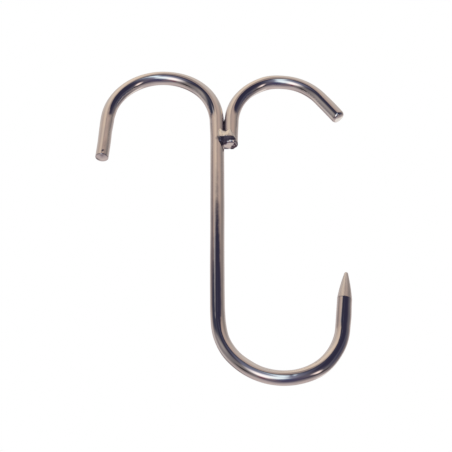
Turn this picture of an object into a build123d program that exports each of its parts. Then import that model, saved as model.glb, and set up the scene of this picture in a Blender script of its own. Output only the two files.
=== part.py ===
from build123d import *
import math
import os

os.makedirs("parts", exist_ok=True)

# Twin-top meat hook, bent from round bar. It hangs as it is used: +Z is up, the hook lies in the
# XZ plane, and the open side of the bowl is towards +X. The origin is the rail seat of the larger
# top hook, at the top of the inside of its bend. Millimetres and degrees.

# Bar stock
BAR_DIAMETER = 8.0
BAR_RADIUS = BAR_DIAMETER / 2
BAR_GAP = 0.02                  # the two bars lie side by side, all but touching
END_ROUNDING = 0.9              # the free ends are dressed round after cutting
CUT_END_ROUNDING = 0.3          # the sheared end beside the shank is only deburred

# Main rod: large top hook, shank and load bowl
MAIN_SEAT_RADIUS = 28.4         # inside of the bend that sits on the rail
MAIN_BEND_TURN = 175.5          # a little short of half a turn, so the tail stands off outwards
TAIL_LENGTH = 28.5              # straight run after the bend
SHANK_LENGTH = 129.0
BOWL_ENTRY_RADIUS = 34.5        # centre line, from the shank round to the bottom
BOWL_ENTRY_TURN = 97.0
BOWL_EXIT_RADIUS = 31.5         # centre line, the tighter half under the point
BOWL_EXIT_TURN = 76.5
POINT_LEG_LENGTH = 35.0         # straight run up to the tip, its ground point included
POINT_LENGTH = 17.0
POINT_NOSE_RADIUS = 1.1

# Branch rod: small top hook welded beside the shank
BRANCH_SEAT_RADIUS = 25.4       # inside of the smaller bend
BRANCH_BEND_TURN = 144.2
BRANCH_BEND_DROP = 0.4          # its bend starts this much lower than the main one
BRANCH_ARM_LENGTH = 18.4
STUB_LENGTH = 16.65             # straight run beside the shank

# Weld beads in the two grooves between the bars, just above the stub's cut end
BEAD_HEIGHT = 7.7
BEAD_ABOVE_STUB_END = 0.4
BEAD_WIDTH = 9.2
BEAD_SHIFT = 1.0                # laid more on the stub than on the shank
BEAD_PROUD = 2.3                # how far it stands out past the bars
BEAD_ROOT_DEPTH = 1.2           # how near its root comes to the plane of the bars' centre lines
BEAD_CORNER = 2.6               # corner rounding, seen from the front
BEAD_CROWN = 1.9                # rounding from the face to the sides
BEAD_DIP_RADIUS = 1.7           # sag of the top edge between the bars
BEAD_DIP_DEPTH = 0.9

# Places worked out from the sizes above, as (x, z) in the plane of the hook
MAIN_BEND_RADIUS = MAIN_SEAT_RADIUS + BAR_RADIUS
BRANCH_BEND_RADIUS = BRANCH_SEAT_RADIUS + BAR_RADIUS
SHANK_X = MAIN_BEND_RADIUS
SHANK_TOP_Z = -MAIN_SEAT_RADIUS
STUB_X = SHANK_X + BAR_DIAMETER + BAR_GAP
STUB_END_Z = SHANK_TOP_Z - BRANCH_BEND_DROP - STUB_LENGTH

UP = 90.0
DOWN = -90.0


def run(length):
    """A straight step of a bar's centre line."""
    return lambda point, heading: Line(point, point + heading * length)


def bend(radius, turn):
    """A tangent arc of a bar's centre line, positive turning left."""
    return lambda point, heading: JernArc(point, heading, radius, turn)


def centre_line(start, heading_angle, steps):
    """The wire that a bar follows from start, in the plane of the hook, one step after another."""
    angle = math.radians(heading_angle)
    point = Vector(*start)
    heading = Vector(math.cos(angle), math.sin(angle))
    edges = []
    for step in steps:
        piece = step(point, heading)
        edges.append(piece.edge())
        point = piece @ 1
        heading = piece % 1
    return Plane.XZ * Wire(edges)


def round_bar(path):
    """Round bar along a centre line."""
    section = Plane(origin=path @ 0, z_dir=path % 0) * Circle(BAR_RADIUS)
    return sweep(section, path=path)


def round_end(bar, centre, radius):
    """Round the edge of a cut end, found by the centre of its face."""
    rim = bar.edges().filter_by(GeomType.CIRCLE).sort_by_distance(centre)[0]
    return fillet(rim, radius)


def ground_point():
    """Cone with a ball nose tangent to its side, standing on the XY plane."""
    nose_centre = POINT_LENGTH - POINT_NOSE_RADIUS
    to_centre = math.hypot(BAR_RADIUS, nose_centre)
    half_angle = math.atan2(BAR_RADIUS, nose_centre) - math.asin(POINT_NOSE_RADIUS / to_centre)
    side_end = (
        POINT_NOSE_RADIUS * math.cos(half_angle),
        nose_centre + POINT_NOSE_RADIUS * math.sin(half_angle),
    )
    mid_angle = (half_angle + math.pi / 2) / 2
    nose_mid = (
        POINT_NOSE_RADIUS * math.cos(mid_angle),
        nose_centre + POINT_NOSE_RADIUS * math.sin(mid_angle),
    )
    outline = Polyline((0, POINT_LENGTH), (0, 0), (BAR_RADIUS, 0), side_end)
    outline += ThreePointArc(side_end, nose_mid, (0, POINT_LENGTH))
    return revolve(Plane.XZ * make_face(outline), axis=Axis.Z)


def main_hook_rod():
    """Large top hook, shank, bowl and ground point, all one bar, drawn both ways from the shank's top."""
    shank_top = (SHANK_X, SHANK_TOP_Z)
    top_path = centre_line(
        shank_top,
        UP,
        [bend(MAIN_BEND_RADIUS, MAIN_BEND_TURN), run(TAIL_LENGTH)],
    )
    bowl_path = centre_line(
        shank_top,
        DOWN,
        [
            run(SHANK_LENGTH),
            bend(BOWL_ENTRY_RADIUS, BOWL_ENTRY_TURN),
            bend(BOWL_EXIT_RADIUS, BOWL_EXIT_TURN),
            run(POINT_LEG_LENGTH - POINT_LENGTH),
        ],
    )
    top = round_end(round_bar(top_path), top_path @ 1, END_ROUNDING)
    point = Plane(origin=bowl_path @ 1, z_dir=bowl_path % 1) * ground_point()
    return top + round_bar(bowl_path) + point


def branch_hook_rod():
    """Small top hook: a stub beside the shank, the bend and a sloping arm."""
    path = centre_line(
        (STUB_X, STUB_END_Z),
        UP,
        [run(STUB_LENGTH), bend(BRANCH_BEND_RADIUS, -BRANCH_BEND_TURN), run(BRANCH_ARM_LENGTH)],
    )
    bar = round_end(round_bar(path), path @ 1, END_ROUNDING)
    return round_end(bar, path @ 0, CUT_END_ROUNDING)


def weld_bead(side, bars):
    """Bead across both bars on one side of the hook: -1 is the front, +1 the rear."""
    centre = (
        (SHANK_X + STUB_X) / 2 + BEAD_SHIFT,
        STUB_END_Z + BEAD_ABOVE_STUB_END + BEAD_HEIGHT / 2,
    )
    top = centre[1] + BEAD_HEIGHT / 2
    outline = Pos(*centre) * RectangleRounded(BEAD_WIDTH, BEAD_HEIGHT, BEAD_CORNER)
    dip_centre = (centre[0] - BEAD_SHIFT, top + BEAD_DIP_RADIUS - BEAD_DIP_DEPTH)
    outline -= Pos(*dip_centre) * Circle(BEAD_DIP_RADIUS)
    face_y = BAR_RADIUS + BEAD_PROUD
    blank = extrude(Plane.XZ * outline, amount=face_y)
    blank = fillet(blank.faces().sort_by(Axis.Y)[0].edges(), BEAD_CROWN)
    root = Pos(centre[0], -face_y / 2 - BEAD_ROOT_DEPTH, centre[1]) * Box(
        BEAD_WIDTH * 2, face_y, BEAD_HEIGHT * 2
    )
    blank = blank & root
    if side > 0:
        blank = mirror(blank, about=Plane.XZ)
    for bar in bars:
        blank -= bar
    return blank


main_rod = main_hook_rod()
branch_rod = branch_hook_rod()
both_bars = (main_rod, branch_rod)
pieces = {
    "main_hook_rod": main_rod,
    "branch_hook_rod": branch_rod,
    "front_weld_bead": weld_bead(-1, both_bars),
    "rear_weld_bead": weld_bead(1, both_bars),
}
for name, piece in pieces.items():
    export_step(piece, f"parts/{name}.step")
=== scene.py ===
import math

import bpy
from mathutils import Matrix, Vector, noise


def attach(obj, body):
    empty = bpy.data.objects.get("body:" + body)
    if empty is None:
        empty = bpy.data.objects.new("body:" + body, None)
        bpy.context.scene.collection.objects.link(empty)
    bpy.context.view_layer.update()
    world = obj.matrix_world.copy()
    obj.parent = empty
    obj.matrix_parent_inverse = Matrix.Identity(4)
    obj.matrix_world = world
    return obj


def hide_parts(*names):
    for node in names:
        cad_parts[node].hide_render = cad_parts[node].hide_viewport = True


# A twin-top meat hook: its two bent bars, the weld beads that join them, and its surroundings.
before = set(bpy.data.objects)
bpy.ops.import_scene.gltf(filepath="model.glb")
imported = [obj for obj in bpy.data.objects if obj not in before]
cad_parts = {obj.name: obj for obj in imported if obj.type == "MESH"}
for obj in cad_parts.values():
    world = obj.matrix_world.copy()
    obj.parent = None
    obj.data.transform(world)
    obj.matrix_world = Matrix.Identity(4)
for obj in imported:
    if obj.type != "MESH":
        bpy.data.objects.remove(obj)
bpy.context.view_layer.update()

MM = 0.001
FULL_TURN = 2 * math.pi

# ---------------------------------------------------------------------------------------------
# Sizes of the two bars, in millimetres and degrees, as in the CAD model. The origin is the rail
# seat of the large top hook, +Z is up and -Y is the front.
# ---------------------------------------------------------------------------------------------
BAR_RADIUS = 4.0
BAR_GAP = 0.02
MAIN_BEND_RADIUS = 32.4
MAIN_BEND_TURN = 175.5
TAIL_LENGTH = 28.5
SHANK_LENGTH = 129.0
BOWL_ENTRY_RADIUS = 34.5
BOWL_ENTRY_TURN = 97.0
BOWL_EXIT_RADIUS = 31.5
BOWL_EXIT_TURN = 76.5
POINT_LEG_LENGTH = 35.0
POINT_LENGTH = 17.0
POINT_NOSE_RADIUS = 1.1
BRANCH_BEND_RADIUS = 29.4
BRANCH_BEND_TURN = 144.2
BRANCH_BEND_DROP = 0.4
BRANCH_ARM_LENGTH = 18.4
STUB_LENGTH = 16.65

SHANK_X = MAIN_BEND_RADIUS
SHANK_TOP_Z = BAR_RADIUS - MAIN_BEND_RADIUS
STUB_X = SHANK_X + 2 * BAR_RADIUS + BAR_GAP
GROOVE_X = (SHANK_X + STUB_X) / 2
STUB_END_Z = SHANK_TOP_Z - BRANCH_BEND_DROP - STUB_LENGTH

# Worn shapes of the bars' ends, which the CAD model doesn't have. An edge is rounded over its
# depth across the bar and its reach along it, and a zone is the stretch of bar with fine detail.
# The burr's place is to the right of and behind the bar's middle.
TAIL_PAST_END = 0.5
TAIL_EDGE = 0.5
TAIL_DOME = 0.95
TAIL_ZONE = 5.0
ARM_EDGE_DEPTH = 1.3
ARM_EDGE_REACH = 1.9
ARM_DOME = 0.2
STUB_EDGE_DEPTH = 0.3
STUB_EDGE_REACH = 0.35
STUB_ZONE = 3.0
STUB_TORN_ZONE = 1.4
STUB_RIM_ROLL = 1.6
STUB_TORN_RISE = 0.25
STUB_CORNER_RISE = 0.35
STUB_BURR_DROP = 0.45
STUB_BURR_PLACE = (0.6, 3.6)
POINT_ZONE_BEFORE = 2.0
POINT_WEAR = 0.7
POINT_SWELL = 0.26
POINT_OFF_CENTRE = 0.05
POINT_LIP = 0.02

# Unevenness of the bars' sides.
SLOW_WAVES = 0.020
FINE_WAVES = 0.004
BEND_FLATTENING = 0.05

# Painted shade in the groove beside the weld, and a darker patch: the stretch of the bars round
# the joint, the box that holds the painted shade, how dark it is, and where the patch is.
JOINT_X = (20, 56)
JOINT_Z = (-50, -8)
GROOVE_SHADE_X = (28, 50)
GROOVE_SHADE_Z = (-46, -10)
GROOVE_SHADE = 0.58
CORNER_PATCH_PLACE = (32.0, -42.9)
CORNER_PATCH_DARKNESS = 0.30

# How far each side of a hand-bent bar strays from true runs and arcs, in the hook's plane: over a
# stretch of the bar from start to end, eased in and out, it stands out by so much. Left and right
# are seen along the bar from its tail or its cut end.
MAIN_LEFT_STRAY = [(-15, 28, 20, -0.40), (40, 80, 20, 0.10), (80, 124, 18, 0.40), (126, 150, 4, 0.05),
                   (185, 265, 30, -0.17), (250, 272, 11, 0.42), (280, 300, 10, 0.26),
                   (332, 362, 14, 0.17)]
MAIN_RIGHT_STRAY = [(11, 27, 8, -0.20), (27, 39, 6, 0.20), (70, 118, 24, 0.28), (98, 142, 22, 0.62),
                    (198, 258, 30, 0.12), (250, 268, 9, -0.20), (268, 286, 9, 0.17), (318, 344, 13, 0.45),
                    (357, 373, 8, 0.20)]
BRANCH_LEFT_STRAY = [(10, 46, 8, -0.25), (-2, 18.6, 1.2, 0.30), (45, 67, 11, 0.55), (84, 118, 17, 0.42)]
BRANCH_RIGHT_STRAY = [(2, 44, 20, 0.70), (47, 66, 9, -0.32), (70, 100, 15, 0.22)]

RING_POINTS = 72
RING_SPACING = 0.7
FINE_SPACING = 0.2
CONE_START_SPACING = 0.12
CONE_SPACING = 0.4
NOSE_RINGS = 11
EDGE_STEPS = 12
FACE_STEPS = 10
STUB_FACE_STEPS = 26


# ---------------------------------------------------------------------------------------------
# Helpers for shapes
# ---------------------------------------------------------------------------------------------
def eased(value, low, high):
    """0 at low, 1 at high, eased between them. low may be the larger."""
    share = min(1.0, max(0.0, (value - low) / (high - low)))
    return share * share * (3 - 2 * share)


def blend(a, b, share):
    return a + (b - a) * share


def soft_min(a, b, width):
    """The smaller of two lengths, with their meeting rounded over about this width."""
    h = max(width - abs(a - b), 0.0) / width
    return min(a, b) - h * h * width * 0.25


def curve_value(knots, at):
    """Height of a smooth curve through (place, height) knots."""
    if at <= knots[0][0]:
        return knots[0][1]
    if at >= knots[-1][0]:
        return knots[-1][1]
    k = max(i for i in range(len(knots) - 1) if knots[i][0] <= at)
    before, start, end, after = (knots[min(max(k + i, 0), len(knots) - 1)] for i in (-1, 0, 1, 2))
    span = end[0] - start[0]
    t = (at - start[0]) / span
    rise_in = (end[1] - before[1]) / (end[0] - before[0]) * span
    rise_out = (after[1] - start[1]) / (after[0] - start[0]) * span
    return (
        start[1] * (2 * t ** 3 - 3 * t ** 2 + 1) + rise_in * (t ** 3 - 2 * t ** 2 + t)
        + end[1] * (3 * t ** 2 - 2 * t ** 3) + rise_out * (t ** 3 - t ** 2)
    )


def lofted(name, rings, flipped=False):
    """Smooth closed mesh through rings of corners, with a fan over each end ring.

    A corner is (point, straight, grime): straight is its place before bending, and
    grime, 0 to 1, is dirt and painted shade together.
    """
    count = len(rings[0])
    corners = [corner for ring in rings for corner in ring]
    faces = []
    for r in range(len(rings) - 1):
        for i in range(count):
            j = (i + 1) % count
            a = r * count
            b = a + count
            faces.append((a + i, a + j, b + j, b + i))
    last = (len(rings) - 1) * count
    for base, ring, first in ((0, rings[0], True), (last, rings[-1], False)):
        centre = len(corners)
        point = sum((corner[0] for corner in ring), Vector()) / count
        straight = tuple(sum(corner[1][k] for corner in ring) / count for k in range(3))
        corners.append((point, straight, sum(corner[2] for corner in ring) / count))
        for i in range(count):
            j = (i + 1) % count
            faces.append((centre, base + j, base + i) if first else (centre, base + i, base + j))
    if flipped:
        faces = [face[::-1] for face in faces]

    mesh = bpy.data.meshes.new(name)
    mesh.from_pydata([point * MM for point, _, _ in corners], [], faces)
    mesh.validate()
    place = mesh.attributes.new("straight", "FLOAT_VECTOR", "POINT")
    place.data.foreach_set("vector", [value for _, straight, _ in corners for value in straight])
    dirt_and_shade = mesh.attributes.new("grime", "FLOAT", "POINT")
    dirt_and_shade.data.foreach_set("value", [grime for _, _, grime in corners])
    mesh.shade_smooth()
    piece = bpy.data.objects.new(name, mesh)
    bpy.context.scene.collection.objects.link(piece)
    return piece


# ---------------------------------------------------------------------------------------------
# Bent bars
# ---------------------------------------------------------------------------------------------
class CentreLine:
    """The middle of a bent bar in the hook's plane: straight runs and tangent bends, by distance."""

    def __init__(self, start, heading, steps):
        self.parts = []
        self.length = 0.0
        point = Vector(start)
        angle = math.radians(heading)
        for kind, size, turn in steps:
            turn = math.radians(turn)
            length = size * abs(turn) if kind == "bend" else size
            self.parts.append((self.length, length, point.copy(), angle, size, turn))
            point, angle = self._inside(self.parts[-1], length)
            self.length += length

    @staticmethod
    def _inside(part, distance):
        _, _, point, angle, size, turn = part
        if turn == 0:
            return point + distance * Vector((math.cos(angle), math.sin(angle))), angle
        side = math.copysign(1, turn)
        centre = point + side * size * Vector((-math.sin(angle), math.cos(angle)))
        angle = angle + side * distance / size
        return centre + side * size * Vector((math.sin(angle), -math.cos(angle))), angle

    def at(self, distance):
        """(x, z) and heading at a distance from the start. Past either end it runs on straight."""
        part = self.parts[0]
        for candidate in self.parts:
            if distance >= candidate[0]:
                part = candidate
        inside = distance - part[0]
        if inside > part[1]:
            point, angle = self._inside(part, part[1])
            return point + (inside - part[1]) * Vector((math.cos(angle), math.sin(angle))), angle
        return self._inside(part, inside)

    def bend_share(self, distance):
        """1 inside a bend, 0 on a straight run, with a soft start and end."""
        ease = 4.0
        share = 0.0
        for start, length, _, _, _, turn in self.parts:
            if turn:
                inside = min(distance - start, start + length - distance) / ease + 0.5
                share = max(share, min(1.0, max(0.0, inside)))
        return share

    def near_joint(self):
        """Points of the line beside the weld, every half millimetre."""
        left, right = JOINT_X
        low, high = JOINT_Z
        points = [self.at(k / 2)[0] for k in range(int(2 * self.length))]
        return [p for p in points if left < p[0] < right and low < p[1] < high]


def run(length):
    return ("run", length, 0.0)


def bend(radius, turn):
    return ("bend", radius, turn)


def main_line():
    """The long bar's centre line. It is moved as a whole so that its shank is in place."""
    line = CentreLine(
        (0.0, 0.0),
        MAIN_BEND_TURN - 90,
        [
            run(TAIL_LENGTH),
            bend(MAIN_BEND_RADIUS, -MAIN_BEND_TURN),
            run(SHANK_LENGTH),
            bend(BOWL_ENTRY_RADIUS, BOWL_ENTRY_TURN),
            bend(BOWL_EXIT_RADIUS, BOWL_EXIT_TURN),
            run(POINT_LEG_LENGTH),
        ],
    )
    _, _, shank_top, _, _, _ = line.parts[2]
    move = Vector((SHANK_X, SHANK_TOP_Z)) - shank_top
    line.parts = [
        (start, length, point + move, angle, size, turn)
        for start, length, point, angle, size, turn in line.parts
    ]
    return line


def branch_line():
    return CentreLine(
        (STUB_X, STUB_END_Z),
        90.0,
        [run(STUB_LENGTH), bend(BRANCH_BEND_RADIUS, -BRANCH_BEND_TURN), run(BRANCH_ARM_LENGTH)],
    )


def bar_mesh(name, line, rings, details, neighbour):
    """Closed tube round a centre line. rings is a list of (distance, radius).

    details gives each point's radius, its move along the bar and its dirt and painted shade. Angles
    go round the bar from the side left of its heading through the front.
    """
    beside = neighbour.near_joint()
    loft = []
    for distance, radius in rings:
        (x, z), angle = line.at(distance)
        side = Vector((-math.sin(angle), 0, math.cos(angle)))
        along = Vector((math.cos(angle), 0, math.sin(angle)))
        ring = []
        for i in range(RING_POINTS):
            turn = FULL_TURN * i / RING_POINTS
            grown, shift, dirt_and_shade = details(distance, radius, turn)
            offset = side * math.cos(turn) * grown - Vector((0, 1, 0)) * math.sin(turn) * grown
            point = Vector((x, 0, z)) + offset + along * shift
            straight = (grown * math.cos(turn), grown * math.sin(turn), distance + shift)
            # The groove adds painted shade, and the patch beside the weld adds a darker spot.
            dirt_and_shade += groove_shade(point, beside) + weld_corner_patch(point)
            ring.append((point, straight, min(1.0, dirt_and_shade)))
        loft.append(ring)
    return lofted(name, loft)


def groove_shade(point, beside):
    """Painted shade in the narrow groove between the two bars, above the weld."""
    left, right = GROOVE_SHADE_X
    low, high = GROOVE_SHADE_Z
    if not (low < point.z < high and left < point.x < right):
        return 0.0
    gap = min(math.hypot(point.x - x, point.y, point.z - z) for x, z in beside) - BAR_RADIUS
    if point.x < GROOVE_X:
        top = eased(point.z, -27.0, -28.5)
        reach = 2.4
    else:
        top = eased(point.z, -15.0, -24.0)
        reach = 2.9
    foot = eased(point.z, STUB_END_Z + 0.4, STUB_END_Z + 2.0)
    # Painted shade: darker where the bars face each other across the groove.
    return GROOVE_SHADE * eased(gap, reach, reach - 1.2) * top * foot


def weld_corner_patch(point):
    """A small darker, duller patch beside the lower left corner of the front weld."""
    x, z = CORNER_PATCH_PLACE
    off = Vector((point.x - x, (point.z - z) * 0.7)).length
    return CORNER_PATCH_DARKNESS * eased(off, 1.3, 0.3) if point.y < 0 else 0.0


def end_rings(at, direction, depth, reach, bulge, face_steps=FACE_STEPS):
    """Rings of a worn end, from the bar's side to near the face's middle.

    The edge is rounded over depth across the bar and reach along it, and the face bulges a little.
    """
    rings = []
    for k in range(EDGE_STEPS + 1):
        a = math.pi / 2 * k / EDGE_STEPS
        rings.append((
            at - direction * (reach * (1 - math.sin(a)) + bulge),
            BAR_RADIUS - depth * (1 - math.cos(a)),
        ))
    inner = BAR_RADIUS - depth
    for k in range(1, face_steps):
        share = 1 - k / face_steps
        rings.append((at - direction * bulge * share * share, inner * share))
    return rings


def side_rings(start, end, spacing=RING_SPACING):
    """Rings of the bar's own size, evenly spaced from start to end."""
    count = max(2, math.ceil((end - start) / spacing))
    return [(start + (end - start) * k / count, BAR_RADIUS) for k in range(count + 1)]


def uneven(distance, turn, radius, seed):
    """Slow waviness that drawing, bending and polishing leave in a bar, in millimetres."""
    place = Vector((math.cos(turn) * radius, math.sin(turn) * radius, distance * 0.45))
    slow = noise.noise(place * 0.16 + Vector((seed, 0, 0)))
    fine = noise.noise(place * 0.55 + Vector((0, seed, 0)))
    return SLOW_WAVES * slow + FINE_WAVES * fine


def ovality(line, distance, turn):
    """A bent bar flattens a little: thinner in the plane of the bend, wider across it."""
    return -BEND_FLATTENING * math.cos(2 * turn) * line.bend_share(distance)


def stray(left, right, distance, turn):
    """How far a hand-bent bar stands out from its true shape at one place on its side."""
    out = 0.0
    for stretches, facing in ((left, max(0.0, math.cos(turn))), (right, max(0.0, -math.cos(turn)))):
        for start, end, ease, growth in stretches:
            share = eased(distance, start, start + ease) * eased(distance, end, end - ease)
            out += growth * share * facing * facing
    return out


def dent(distance, turn, at, facing, long, wide, slant):
    """1 in the middle of a slanted oval mark on the bar's side, 0 outside it."""
    across = BAR_RADIUS * (turn - math.radians(facing))
    along = distance - at
    a = (along * math.cos(slant) + across * math.sin(slant)) / long
    b = (across * math.cos(slant) - along * math.sin(slant)) / wide
    return eased(math.hypot(a, b), 1.0, 0.15)


def tail_marks(distance, turn):
    """A nick and a small dent above the tail's rim, and its dull rim: (how deep, how dirty)."""
    nick = dent(distance, turn, at=2.4, facing=99, long=1.6, wide=0.75, slant=0.3)
    small = dent(distance, turn, at=0.9, facing=132, long=0.9, wide=0.6, slant=-0.3)
    rim = eased(distance, 1.3, 0.7) * eased(distance, 0.25, 0.5)
    return 0.04 * nick + 0.02 * small, 0.26 * nick + 0.10 * small + 0.20 * rim


class GroundPoint:
    """The cone ground on the end of the point leg, a little swollen, with a rounded nose."""

    def __init__(self, bar_length):
        self.bar_length = bar_length
        self.base = bar_length - POINT_LENGTH
        self.start = self.base - POINT_ZONE_BEFORE
        self.nose_centre = bar_length - POINT_WEAR - POINT_NOSE_RADIUS
        cone = self.nose_centre - self.base
        nose_turn = math.asin(POINT_NOSE_RADIUS / math.hypot(BAR_RADIUS, cone))
        self.half_angle = math.atan2(BAR_RADIUS, cone) - nose_turn
        self.nose_start = self.nose_centre + POINT_NOSE_RADIUS * math.sin(self.half_angle)

    def rings(self):
        """Rings from just before the cone to near the tip of the nose. cut brings them to size."""
        rings = side_rings(self.start, self.base + 1.0, CONE_START_SPACING)[1:]
        rings += side_rings(self.base + 1.0, self.nose_start, CONE_SPACING)[1:]
        for k in range(1, NOSE_RINGS + 1):
            a = self.half_angle + (math.pi / 2 - self.half_angle) * k / (NOSE_RINGS + 0.5)
            rings.append((self.nose_centre + POINT_NOSE_RADIUS * math.sin(a), BAR_RADIUS))
        return rings

    def radius(self, distance, turn):
        """The radius that grinding leaves at a distance along the bar."""
        if distance > self.nose_start:
            inside = min(POINT_NOSE_RADIUS, distance - self.nose_centre)
            ground = math.sqrt(max(0.0, POINT_NOSE_RADIUS ** 2 - inside ** 2))
        else:
            ground = POINT_NOSE_RADIUS * math.cos(self.half_angle)
            ground += (self.nose_start - distance) * math.tan(self.half_angle)
        along_cone = min(1.0, max(0.0, (distance - self.base) / (self.nose_start - self.base)))
        off_centre = POINT_OFF_CENTRE * math.cos(turn) * min(1.0, (self.bar_length - distance) / 5)
        return ground + POINT_SWELL * math.sin(math.pi * along_cone) + off_centre

    def cut(self, grown, distance, turn):
        """The bar's radius after grinding. Where the cone starts, the bar keeps a faint lip."""
        lip = POINT_LIP * math.exp(-((distance - self.base) / 0.35) ** 2)
        return soft_min(grown + lip, self.radius(distance, turn), 0.05)


def bar_surface(line, left_stray, right_stray, seed):
    """A function of (distance, radius, turn) that gives a hand-bent, uneven bar's own radius."""

    def grown_radius(distance, radius, turn):
        edge = min(1.0, radius / BAR_RADIUS)
        return radius + edge * (
            uneven(distance, turn, radius, seed) + ovality(line, distance, turn)
            + stray(left_stray, right_stray, distance, turn)
        )

    return grown_radius


def make_main_rod(line, neighbour):
    point = GroundPoint(line.length)
    tail_side = TAIL_DOME + TAIL_EDGE - TAIL_PAST_END
    rings = end_rings(-TAIL_PAST_END, -1, TAIL_EDGE, TAIL_EDGE, TAIL_DOME)[::-1]
    rings += side_rings(tail_side, TAIL_ZONE, FINE_SPACING)[1:]
    rings += side_rings(TAIL_ZONE, point.start)[1:]
    rings += point.rings()
    surface = bar_surface(line, MAIN_LEFT_STRAY, MAIN_RIGHT_STRAY, seed=3.0)

    def details(distance, radius, turn):
        grown = surface(distance, radius, turn)
        dirt_and_shade = 0.0
        if distance < TAIL_ZONE:
            sunk, dirt_and_shade = tail_marks(distance, turn)
            grown -= sunk
        if distance > point.start:
            grown = point.cut(grown, distance, turn)
        return grown, 0.0, dirt_and_shade

    return bar_mesh("main_hook_bar", line, rings, details, neighbour)


def make_branch_rod(line, neighbour):
    arm_side = line.length - ARM_EDGE_REACH - ARM_DOME
    rings = end_rings(0.0, -1, STUB_EDGE_DEPTH, STUB_EDGE_REACH, 0.0, STUB_FACE_STEPS)[::-1]
    rings += side_rings(STUB_EDGE_REACH, STUB_ZONE, FINE_SPACING)[1:]
    rings += side_rings(STUB_ZONE, arm_side)[1:-1]
    rings += end_rings(line.length, 1, ARM_EDGE_DEPTH, ARM_EDGE_REACH, ARM_DOME)
    surface = bar_surface(line, BRANCH_LEFT_STRAY, BRANCH_RIGHT_STRAY, seed=8.0)

    def details(distance, radius, turn):
        in_torn_zone = distance < STUB_TORN_ZONE
        shift, dirt_and_shade = cut_end(distance, radius, turn) if in_torn_zone else (0.0, 0.0)
        return surface(distance, radius, turn), shift, dirt_and_shade

    return bar_mesh("branch_hook_bar", line, rings, details, neighbour)


def cut_end(distance, radius, turn):
    """The stub's sheared end: (how far a point moves up the bar, its dirt and painted shade).

    Its front edge is rolled and lumpy, the right of its face is torn and dark, the front left of
    its face is darkened as painted shade beside the shank, and a burr hangs from its rear edge.
    """
    right = -radius * math.cos(turn)
    back = -radius * math.sin(turn)
    place = Vector((right, back, 5.0))
    face = eased(distance, 1.2, 0.3)
    front = eased(-back + 0.3 * right, 0.6, 2.6)
    in_from_edge = max(0.0, BAR_RADIUS - radius)
    rolled = STUB_RIM_ROLL * front * max(0.0, 1 - in_from_edge / STUB_RIM_ROLL) ** 2
    lumps = 0.5 * noise.noise(Vector((right * 1.25 + 0.4, 3.0, in_from_edge * 0.5)))
    shift = rolled * (1.0 + lumps) * eased(distance, STUB_TORN_ZONE, 0.0)
    torn = eased(right + 0.4 * back + 0.9 * noise.noise(place * 0.8), 0.3, 1.2)
    rough = noise.noise(place * 1.1) + 0.6 * noise.noise(place * 2.6)
    shift += blend(0.04, 0.16, torn) * rough * face
    shift += STUB_TORN_RISE * torn * face
    shift += STUB_CORNER_RISE * eased(back, 1.0, 3.5) * eased(right, 0.0, -1.5) * face
    burr_right, burr_back = STUB_BURR_PLACE
    burr = math.exp(-((right - burr_right) / 1.1) ** 2 - ((back - burr_back) / 0.8) ** 2)
    shift -= STUB_BURR_DROP * burr * face
    # Painted shade on the face's front left, next to the shank.
    shade_beside_shank = eased(right + 0.15 * back, -2.2, -3.0) * eased(back, 0.3, -1.5)
    behind_rim = eased(in_from_edge, 0.8, 1.4) + eased(back, -0.5, 0.5)
    dark = torn * min(1.0, behind_rim) * eased(noise.noise(place * 1.5), 0.6, 0.2)
    return shift, min(1.0, 0.95 * dark + 0.9 * shade_beside_shank) * face


# ---------------------------------------------------------------------------------------------
# Weld beads
#
# A bead is a row of profiles across both bars. Places in it are s to the right of the groove
# between the bars, h above the branch bar's cut end, and f out from the hook's middle plane.
# ---------------------------------------------------------------------------------------------
BEAD_LEFT = -4.3
BEAD_RIGHT = 7.0
BEAD_TOP = [(-4.3, 5.4), (-3.7, 7.6), (-2.8, 9.1), (-1.8, 9.3), (-0.6, 8.8), (0.8, 8.1),
            (2.1, 8.6), (3.2, 8.9), (4.2, 7.8), (5.0, 6.4), (6.0, 4.8), (7.0, 3.2)]
BEAD_CREST_OUT = [(-4.3, 4.5), (-3.6, 5.5), (-2.8, 6.1), (-1.8, 6.5), (0.8, 6.8), (3.5, 6.6),
                  (5.2, 6.0), (7.0, 4.2)]
BEAD_CREST_HEIGHT = [(-4.3, 3.8), (-3.5, 2.7), (-2.0, 2.2), (2.0, 2.2), (5.0, 2.4), (7.0, 2.4)]
BEAD_FOOT = [(-4.3, 4.0), (-3.4, 2.7), (-2.8, 1.9), (-1.8, 0.8), (-0.6, 0.3), (1.0, 0.6),
             (3.0, 1.2), (5.0, 1.2), (7.0, 1.5)]
BEAD_ROOT_DEPTH = 1.0
BEAD_GROOVE_FILL = 2.3
BEAD_LUMPS = 0.10
BEAD_GRAIN = 0.03
BEAD_RIPPLE = 0.02
# How dark the painted shade under the bead is.
BEAD_UNDERSIDE_SHADE = 0.85
BEAD_STATIONS = 110
BEAD_PROFILE_POINTS = 72


def bar_front(s):
    """How far out the bars' own surface is, with the groove between them filled in part."""
    off_centre = min(BAR_RADIUS, abs(abs(s) - BAR_RADIUS))
    return max(BEAD_GROOVE_FILL, math.sqrt(BAR_RADIUS ** 2 - off_centre ** 2))


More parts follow.
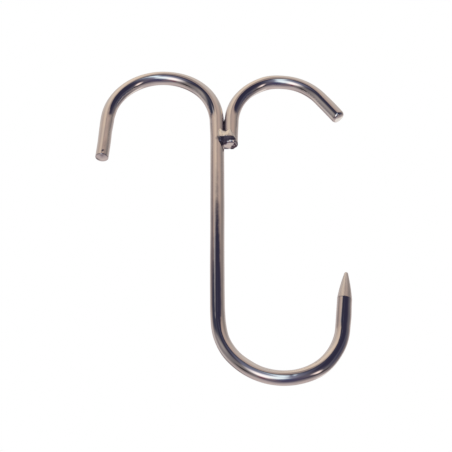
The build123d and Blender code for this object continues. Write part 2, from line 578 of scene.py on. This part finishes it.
def bead_profile(s):
    """Corner points (f, h) of the bead's closed profile at s, from its top inner corner round."""
    top = curve_value(BEAD_TOP, s)
    foot = curve_value(BEAD_FOOT, s)
    out = curve_value(BEAD_CREST_OUT, s)
    crest = curve_value(BEAD_CREST_HEIGHT, s)
    bar = bar_front(s)
    inner = bar - BEAD_ROOT_DEPTH
    return [
        (inner, top - 1.1),
        (bar - 0.2, top),
        (blend(bar, out, 0.30), blend(top, crest, 0.07)),
        (blend(bar, out, 0.64), blend(top, crest, 0.34)),
        (blend(bar, out, 0.88), blend(top, crest, 0.70)),
        (out - 0.03, crest + 0.35),
        (out - 0.22, crest - 0.22),
        (blend(out, bar, 0.45), blend(crest, foot, 0.45) - 0.05),
        (bar - 0.15, foot),
        (inner, foot + 0.7),
    ]


def loop_point(corners, t):
    """A point of the closed smooth curve through the corners, t from 0 to 1."""
    count = len(corners)
    k = int(t * count) % count
    u = t * count - int(t * count)
    a, b, c, d = (Vector(corners[(k + i) % count]) for i in (-1, 0, 1, 2))
    return 0.5 * (2 * b + (c - a) * u + (2 * a - 5 * b + 4 * c - d) * u ** 2
                  + (3 * b - a - 3 * c + d) * u ** 3)


def make_bead(name, side, seed):
    """One weld bead on the front (side -1) or the rear (side 1) of the bars.

    Its profiles keep nearly their full size until close to the bead's ends, and shrink there.
    """
    rings = []
    for j in range(BEAD_STATIONS):
        across = -math.cos(math.pi * (j + 0.5) / BEAD_STATIONS)
        s = blend(BEAD_LEFT, BEAD_RIGHT, (across + 1) / 2)
        size = math.sqrt(1 - abs(across) ** 9)
        crest = curve_value(BEAD_CREST_HEIGHT, s)
        corners = bead_profile(s)
        middle = sum((Vector(corner) for corner in corners), Vector((0, 0))) / len(corners)
        middle.x = corners[0][0] + 0.4
        ring = []
        for i in range(BEAD_PROFILE_POINTS):
            f, h = middle + (loop_point(corners, i / BEAD_PROFILE_POINTS) - middle) * size
            place = Vector((s, f, h))
            lumps = BEAD_LUMPS * noise.noise(place * 0.5 + Vector((seed, 0, 0)))
            grain = BEAD_GRAIN * noise.noise(place * 1.9 + Vector((0, seed, 0)))
            ripple = BEAD_RIPPLE * math.sin(3.4 * s + 0.5 * (h - 4) ** 2) * eased(f, 3.5, 5.5)
            outward = Vector((0, f - middle.x, h - middle.y)).normalized()
            place += outward * (lumps + grain + ripple)
            # Painted shade on the bead's underside, below its crest.
            shaded_underside = eased(place.z, crest + 0.1, crest - 0.25) * eased(place.y, 7.2, 6.2)
            shaded_underside *= eased(s, -4.2, -3.3)
            point = Vector((GROOVE_X + place.x, side * place.y, STUB_END_Z + place.z))
            straight = tuple(place + Vector((seed * 10, 0, 0)))
            ring.append((point, straight, BEAD_UNDERSIDE_SHADE * shaded_underside))
        rings.append(ring)
    return lofted(name, rings, flipped=side > 0)


# ---------------------------------------------------------------------------------------------
# Shader nodes
# ---------------------------------------------------------------------------------------------
class Nodes:
    """Short calls that add nodes to a tree and link them. A value is a number, a colour or a socket."""

    def __init__(self, tree):
        self.tree = tree
        tree.nodes.clear()

    def new(self, kind, **settings):
        node = self.tree.nodes.new(kind)
        for key, value in settings.items():
            setattr(node, key, value)
        return node

    def set(self, socket, value):
        if isinstance(value, bpy.types.NodeSocket):
            self.tree.links.new(value, socket)
        elif isinstance(value, tuple) and len(value) == 3 and socket.type == "RGBA":
            socket.default_value = (*value, 1.0)
        else:
            socket.default_value = value

    def math(self, operation, a, b=0.0, c=0.0, clamp=False):
        node = self.new("ShaderNodeMath", operation=operation, use_clamp=clamp)
        for socket, value in zip(node.inputs, (a, b, c)):
            self.set(socket, value)
        return node.outputs[0]

    def smooth(self, value, low, high):
        """0 at low, 1 at high, eased between them."""
        node = self.new("ShaderNodeMapRange", interpolation_type="SMOOTHSTEP")
        self.set(node.inputs["Value"], value)
        self.set(node.inputs["From Min"], low)
        self.set(node.inputs["From Max"], high)
        return node.outputs["Result"]

    def mix(self, share, a, b):
        """Colour a at share 0, b at 1. The mix node's colour sockets are 6 and 7 in, 2 out."""
        node = self.new("ShaderNodeMix", data_type="RGBA")
        self.set(node.inputs["Factor"], share)
        self.set(node.inputs[6], a)
        self.set(node.inputs[7], b)
        return node.outputs[2]

    def scaled(self, vector, scale, offset=(0, 0, 0)):
        node = self.new("ShaderNodeMapping")
        self.set(node.inputs["Vector"], vector)
        node.inputs["Scale"].default_value = scale
        node.inputs["Location"].default_value = offset
        return node.outputs["Vector"]

    def noise(self, vector, scale, detail=2.0, roughness=0.5):
        node = self.new("ShaderNodeTexNoise")
        self.set(node.inputs["Vector"], vector)
        node.inputs["Scale"].default_value = scale
        node.inputs["Detail"].default_value = detail
        node.inputs["Roughness"].default_value = roughness
        return node.outputs["Fac"]

    def bump(self, height, strength, distance, normal=None):
        node = self.new("ShaderNodeBump")
        self.set(node.inputs["Height"], height)
        node.inputs["Strength"].default_value = strength
        node.inputs["Distance"].default_value = distance
        if normal is not None:
            self.set(node.inputs["Normal"], normal)
        return node.outputs["Normal"]


PLATING_COOL = (0.78, 0.75, 0.73)
PLATING_WARM = (0.83, 0.78, 0.735)
PLATING_RUBBED = (0.75, 0.72, 0.71)
PLATING_SPECK = (0.60, 0.56, 0.53)
BAR_DIRT_AND_SHADE_THIN = (0.38, 0.36, 0.43)
BAR_DIRT_AND_SHADE_THICK = (0.11, 0.07, 0.10)
WELD_BRIGHT = (0.90, 0.84, 0.76)
WELD_DULL = (0.78, 0.74, 0.69)
WELD_GRAIN = (0.55, 0.50, 0.45)
# Colour of the painted shade under the weld beads.
WELD_UNDERSIDE_SHADE = (0.045, 0.045, 0.125)


def metal_material(name):
    """A metallic material with nothing on its surface yet: (material, nodes, shader)."""
    material = bpy.data.materials.new(name)
    material.use_nodes = True
    nodes = Nodes(material.node_tree)
    shader = nodes.new("ShaderNodeBsdfPrincipled")
    shader.inputs["Metallic"].default_value = 1.0
    output = nodes.new("ShaderNodeOutputMaterial")
    nodes.set(output.inputs["Surface"], shader.outputs[0])
    return material, nodes, shader


def bar_material(point_start):
    """Bright plating over drawn bar: draw lines, faint clouding, rubbed patches, grime and painted shade,
    satin point.
    """
    material, nodes, shader = metal_material("plated_bar")
    place = nodes.new("ShaderNodeAttribute", attribute_name="straight").outputs["Vector"]
    dirt_and_shade = nodes.new("ShaderNodeAttribute", attribute_name="grime").outputs["Fac"]
    lines = nodes.noise(nodes.scaled(place, (2.6, 2.6, 0.05)), 1.0, 3.0, 0.6)
    clouds = nodes.noise(nodes.scaled(place, (0.35, 0.35, 0.12), (4.0, 1.0, 2.0)), 1.0, 3.0)
    rubs = nodes.noise(nodes.scaled(place, (0.8, 0.8, 0.22), (9.0, 0, 0)), 1.0, 4.0, 0.65)
    specks = nodes.noise(place, 2.4, 2.0)

    colour = nodes.mix(nodes.smooth(clouds, 0.35, 0.65), PLATING_COOL, PLATING_WARM)
    colour = nodes.mix(nodes.smooth(rubs, 0.5, 0.75), colour, PLATING_RUBBED)
    colour = nodes.mix(nodes.smooth(specks, 0.70, 0.78), colour, PLATING_SPECK)
    # Dirt, and painted shade in the groove and beside the shank, darken the plating.
    colour = nodes.mix(nodes.smooth(dirt_and_shade, 0.0, 0.55), colour, BAR_DIRT_AND_SHADE_THIN)
    colour = nodes.mix(nodes.smooth(dirt_and_shade, 0.55, 1.0), colour, BAR_DIRT_AND_SHADE_THICK)
    nodes.set(shader.inputs["Base Color"], colour)

    rough = nodes.math("MULTIPLY_ADD", nodes.smooth(rubs, 0.5, 0.8), 0.055, 0.012)
    rough = nodes.math("MULTIPLY_ADD", lines, 0.02, rough)
    rough = nodes.math("MULTIPLY_ADD", dirt_and_shade, 0.35, rough)

    along = nodes.new("ShaderNodeSeparateXYZ")
    nodes.set(along.inputs[0], place)
    ground = nodes.smooth(along.outputs["Z"], point_start - 0.2, point_start + 0.2)
    turned = nodes.noise(nodes.scaled(place, (0.25, 0.25, 5.0), (0, 3.0, 0)), 1.0, 3.0)
    finish = nodes.math("MULTIPLY", ground, nodes.math("MULTIPLY_ADD", turned, 0.08, 0.24))
    nodes.set(shader.inputs["Roughness"], nodes.math("ADD", rough, finish))

    normal = nodes.bump(lines, 0.10, 0.00003)
    normal = nodes.bump(clouds, 0.25, 0.0001, normal)
    nodes.set(shader.inputs["Normal"], normal)
    return material


def weld_material():
    """The same plating over weld metal: grainier, with dull patches, and painted shade underneath."""
    material, nodes, shader = metal_material("plated_weld")
    place = nodes.new("ShaderNodeAttribute", attribute_name="straight").outputs["Vector"]
    dirt_and_shade = nodes.new("ShaderNodeAttribute", attribute_name="grime").outputs["Fac"]
    grain = nodes.noise(place, 1.6, 4.0, 0.6)
    patches = nodes.noise(nodes.scaled(place, (0.5, 0.5, 0.5), (3, 1, 7)), 1.0, 3.0)
    colour = nodes.mix(nodes.smooth(patches, 0.4, 0.65), WELD_BRIGHT, WELD_DULL)
    colour = nodes.mix(nodes.smooth(grain, 0.60, 0.78), colour, WELD_GRAIN)
    colour = nodes.mix(dirt_and_shade, colour, WELD_UNDERSIDE_SHADE)
    nodes.set(shader.inputs["Base Color"], colour)
    rough = nodes.math("MULTIPLY_ADD", grain, 0.22, 0.08)
    rough = nodes.math("MULTIPLY_ADD", dirt_and_shade, 0.2, rough)
    nodes.set(shader.inputs["Roughness"], rough)
    nodes.set(shader.inputs["Normal"], nodes.bump(grain, 0.25, 0.0002))
    return material


# ---------------------------------------------------------------------------------------------
# The hook
# ---------------------------------------------------------------------------------------------
main_path = main_line()
branch_path = branch_line()
bar_metal = bar_material(main_path.length - POINT_LENGTH)
weld_metal = weld_material()
pieces = {
    "main_hook_rod": make_main_rod(main_path, branch_path),
    "branch_hook_rod": make_branch_rod(branch_path, main_path),
    "front_weld_bead": make_bead("front_weld", -1, 2.0),
    "rear_weld_bead": make_bead("rear_weld", 1, 6.0),
}
for node, piece in pieces.items():
    is_weld = node.endswith("bead")
    piece.data.materials.append(weld_metal if is_weld else bar_metal)
    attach(piece, "root")
    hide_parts(node)


# ---------------------------------------------------------------------------------------------
# Surroundings: what the polished metal reflects, by direction, and what the camera sees
# ---------------------------------------------------------------------------------------------
class Room:
    """Colours by direction, painted patch over patch in degrees right of and above an axis.

    The axis is 1 for +Y, behind the hook, or -1 for -Y, in front of it. Right is the right of
    someone out there who looks at the hook.
    """

    def __init__(self, nodes, direction, axis, base):
        self.nodes = nodes
        split = nodes.new("ShaderNodeSeparateXYZ")
        nodes.set(split.inputs[0], direction)
        x, y, z = split.outputs
        side = nodes.math("MULTIPLY", x, -axis)
        ahead = nodes.math("MULTIPLY", y, axis)
        self.off_axis = nodes.math("DEGREES", nodes.math("ARCCOSINE", ahead))
        flat = nodes.math("SQRT", nodes.math("MULTIPLY_ADD", z, z, nodes.math("MULTIPLY", x, x)))
        spread = nodes.math("DIVIDE", self.off_axis, nodes.math("MAXIMUM", flat, 0.0001))
        self.right = nodes.math("MULTIPLY", side, spread)
        self.above = nodes.math("MULTIPLY", z, spread)
        place = nodes.new("ShaderNodeCombineXYZ")
        nodes.set(place.inputs[0], self.right)
        nodes.set(place.inputs[1], self.above)
        self.place = place.outputs[0]
        self.colour = base

    def patch(self, centre, half, tilt, softness, colour):
        """Paint a soft ellipse: its centre and half sizes in degrees, tilted anticlockwise."""
        nodes = self.nodes
        inside = nodes.new("ShaderNodeMapping", vector_type="TEXTURE")
        nodes.set(inside.inputs["Vector"], self.place)
        inside.inputs["Location"].default_value = (*centre, 0)
        inside.inputs["Rotation"].default_value = (0, 0, math.radians(tilt))
        inside.inputs["Scale"].default_value = (*half, 1)
        reach = nodes.new("ShaderNodeVectorMath", operation="LENGTH")
        nodes.set(reach.inputs[0], inside.outputs[0])
        share = nodes.smooth(reach.outputs["Value"], 1 + softness, 1 - softness)
        self.colour = nodes.mix(share, self.colour, colour)


BEHIND = (0.56, 0.48, 0.485)
SWEEP_LOW = (0.53, 0.415, 0.37)
SWEEP_HIGH = (0.66, 0.6, 0.56)

# The lower edge of the sweep: its height in degrees, how it leans and bows to the sides, and its
# blur in the middle and per degree to the side.
SWEEP_EDGE = 32.5
SWEEP_EDGE_LEAN = 0.02
SWEEP_EDGE_BOW = -0.0009
SWEEP_EDGE_BLUR = 1.7
SWEEP_EDGE_BLUR_GROWTH = 0.02


def paint_front_room(room):
    """The dark room in front of the hook. Each patch covers the ones before it."""
    room.patch((10, -5), (100, 70), -5, 0.5, (0.035, 0.033, 0.068))  # dark room
    room.patch((-55, 15), (20, 45), -10, 0.6, (0.37, 0.34, 0.34))  # pale wall on the left
    room.patch((75, 0), (15, 90), -20, 0.7, (0.19, 0.18, 0.20))  # dim wall on the right
    room.patch((75, -10), (20, 30), -5, 0.9, (0.06, 0.06, 0.11))  # doorway in it
    room.patch((-15, -50), (70, 38), -5, 0.4, (0.23, 0.21, 0.22))  # floor
    room.patch((-55, -50), (15, 10), -30, 0.7, (0.045, 0.036, 0.04))  # shadows on the floor
    room.patch((50, -55), (35, 10), 20, 0.3, (0.07, 0.055, 0.06))
    room.patch((5, -65), (40, 30), 65, 0.9, (0.075, 0.065, 0.135))
    room.patch((-55, 28), (32, 17), -15, 0.6, (0.045, 0.05, 0.085))  # shade high on the left
    room.patch((-25, -65), (27, 5), -30, 0.2, (0.25, 0.18, 0.20))  # pale strip on the floor
    room.patch((-25, -57), (6, 15), -30, 0.8, (0.165, 0.02, 0.065))  # red thing on the floor
    room.patch((-5, -20), (18, 35), -5, 0.45, (0.25, 0.26, 0.375))  # screen round the lamps
    room.patch((-17, -33), (13, 19), -15, 0.7, (1.35, 1.27, 1.27))  # main lamp
    room.patch((40, -38), (11, 6), -45, 0.8, (1.25, 1.05, 1.0))  # small lamp
    room.patch((-3, -28), (8, 17), 5, 0.75, (1.05, 1.2, 1.3))  # cool centre of the main lamp
    room.patch((2, 0), (3, 17), 0, 0.8, (0.92, 1.1, 1.24))  # strip lamp above it
    room.patch((5, -45), (8, 4), 0, 0.65, (0.08, 0.13, 0.26))  # lamp's foot
    room.patch((-40, 35), (9, 5), -35, 0.5, (0.42, 0.4, 0.43))  # light line under the sweep


def paint_sweep(room):
    """The pale sweep overhead: bright and dim places on it."""
    room.patch((-20, 70), (20, 40), -10, 0.9, (0.85, 0.72, 0.6))  # warm light high up
    room.patch((80, 25), (27, 55), 15, 0.9, (0.25, 0.22, 0.215))  # dim right side
    room.patch((-70, 28), (40, 10), -55, 0.9, (0.04, 0.033, 0.075))  # dark gap on the left
    room.patch((0, 48), (7, 14), -5, 0.9, (0.32, 0.26, 0.255))  # dim middle


def paint_room_behind(room):
    """The lighter room behind the hook."""
    room.patch((-62, -5), (16, 34), 6, 0.7, (0.30, 0.26, 0.27))  # dim wall on the left
    room.patch((-30, -4), (9, 26), -4, 0.35, (0.95, 0.91, 0.88))  # tall window
    room.patch((26, 2), (13, 18), 8, 0.6, (0.19, 0.165, 0.18))  # doorway on the right
    room.patch((66, 2), (11, 30), 0, 0.5, (0.72, 0.68, 0.65))  # pale wall on the right
    room.patch((0, -31), (15, 9), 0, 0.8, (0.69, 0.61, 0.59))  # light on the floor


def make_surroundings():
    """The rooms and the sweep overhead in reflections, and plain white where the camera looks."""
    world = bpy.data.worlds.new("studio")
    bpy.context.scene.world = world
    world.use_nodes = True
    nodes = Nodes(world.node_tree)
    direction = nodes.new("ShaderNodeTexCoord").outputs["Generated"]

    rear = Room(nodes, direction, 1, BEHIND)
    paint_room_behind(rear)
    room = Room(nodes, direction, -1, rear.colour)
    paint_front_room(room)

    sweep = nodes.mix(nodes.smooth(room.above, 35, 75), SWEEP_LOW, SWEEP_HIGH)
    overhead = Room(nodes, direction, -1, sweep)
    paint_sweep(overhead)
    sweep = nodes.mix(nodes.smooth(room.off_axis, 100, 150), overhead.colour, BEHIND)

    bow = nodes.math("MULTIPLY", nodes.math("MULTIPLY", room.right, room.right), SWEEP_EDGE_BOW)
    lean = nodes.math("MULTIPLY_ADD", room.right, SWEEP_EDGE_LEAN, bow)
    height = nodes.math("SUBTRACT", nodes.math("ADD", room.above, lean), SWEEP_EDGE)
    aside = nodes.math("ABSOLUTE", room.right)
    blur = nodes.math("MULTIPLY_ADD", aside, SWEEP_EDGE_BLUR_GROWTH, SWEEP_EDGE_BLUR)
    share = nodes.smooth(nodes.math("DIVIDE", height, blur), -1, 1)
    colour = nodes.mix(share, room.colour, sweep)

    reflected = nodes.new("ShaderNodeBackground")
    nodes.set(reflected.inputs["Color"], colour)
    seen = nodes.new("ShaderNodeBackground")
    seen.inputs["Color"].default_value = (1, 1, 1, 1)
    which = nodes.new("ShaderNodeMixShader")
    nodes.set(which.inputs[0], nodes.new("ShaderNodeLightPath").outputs["Is Camera Ray"])
    nodes.set(which.inputs[1], reflected.outputs[0])
    nodes.set(which.inputs[2], seen.outputs[0])
    output = nodes.new("ShaderNodeOutputWorld")
    nodes.set(output.inputs["Surface"], which.outputs[0])


# The floor and the light over it, in metres and watts.
FLOOR_HEIGHT = -0.56
FLOOR_RADIUS = 6.0
FLOOR_FADE_START = 0.2
FLOOR_FADE_END = 2.0
FLOOR_COLOUR = (0.9, 0.9, 0.9)
LIGHT_PLACE = (0, -0.2, 1.4)
LIGHT_SIZE = 1.6
LIGHT_POWER = 26


def make_floor():
    """Pale floor well below the hanging hook. It fades into the white backdrop further out."""
    bpy.ops.mesh.primitive_circle_add(
        vertices=96, radius=FLOOR_RADIUS, fill_type="NGON", location=(0, 0, FLOOR_HEIGHT)
    )
    floor = bpy.context.object
    floor.name = "floor"
    material = bpy.data.materials.new("pale_floor")
    material.use_nodes = True
    nodes = Nodes(material.node_tree)
    place = nodes.new("ShaderNodeTexCoord").outputs["Object"]
    length = nodes.new("ShaderNodeVectorMath", operation="LENGTH")
    nodes.set(length.inputs[0], place)
    paper = nodes.new("ShaderNodeBsdfDiffuse")
    paper.inputs["Color"].default_value = (*FLOOR_COLOUR, 1)
    glow = nodes.new("ShaderNodeEmission")
    glow.inputs["Color"].default_value = (1, 1, 1, 1)
    fade = nodes.new("ShaderNodeMixShader")
    nodes.set(fade.inputs[0], nodes.smooth(length.outputs["Value"], FLOOR_FADE_START, FLOOR_FADE_END))
    nodes.set(fade.inputs[1], paper.outputs[0])
    nodes.set(fade.inputs[2], glow.outputs[0])
    output = nodes.new("ShaderNodeOutputMaterial")
    nodes.set(output.inputs["Surface"], fade.outputs[0])
    floor.data.materials.append(material)
    floor.visible_glossy = False


def make_overhead_light():
    """Large soft light over the floor. It doesn't show in the metal."""
    data = bpy.data.lights.new("overhead", "AREA")
    data.shape = "DISK"
    data.size = LIGHT_SIZE
    data.energy = LIGHT_POWER
    light = bpy.data.objects.new("overhead", data)
    light.location = LIGHT_PLACE
    light.visible_glossy = False
    light.visible_camera = False
    bpy.context.scene.collection.objects.link(light)


# ---------------------------------------------------------------------------------------------
# Camera: nearly square on to the hook's plane and well below it, in millimetres and degrees
# ---------------------------------------------------------------------------------------------
CAMERA_AZIMUTH = -0.24
CAMERA_ELEVATION = -30.97
CAMERA_ROLL = -0.37
CAMERA_DISTANCE = 642.9
CAMERA_TARGET = (37.18, 0.0, -100.12)
CAMERA_LENS = 91.9


def make_camera():
    azimuth = math.radians(CAMERA_AZIMUTH)
    elevation = math.radians(CAMERA_ELEVATION)
    roll = math.radians(CAMERA_ROLL)
    back = Vector((
        math.sin(azimuth) * math.cos(elevation),
        -math.cos(azimuth) * math.cos(elevation),
        math.sin(elevation),
    ))
    level = Vector((math.cos(azimuth), math.sin(azimuth), 0))
    upright = back.cross(level)
    right = level * math.cos(roll) + upright * math.sin(roll)
    up = upright * math.cos(roll) - level * math.sin(roll)
    data = bpy.data.cameras.new("camera")
    data.lens = CAMERA_LENS
    data.sensor_width = 36.0
    data.clip_start = 0.01
    data.clip_end = 50.0
    camera = bpy.data.objects.new("camera", data)
    bpy.context.scene.collection.objects.link(camera)
    matrix = Matrix((right, up, back)).transposed().to_4x4()
    matrix.translation = (Vector(CAMERA_TARGET) + back * CAMERA_DISTANCE) * MM
    camera.matrix_world = matrix
    bpy.context.scene.camera = camera


make_surroundings()
make_floor()
make_overhead_light()
make_camera()
bpy.context.scene.view_settings.view_transform = "Standard"
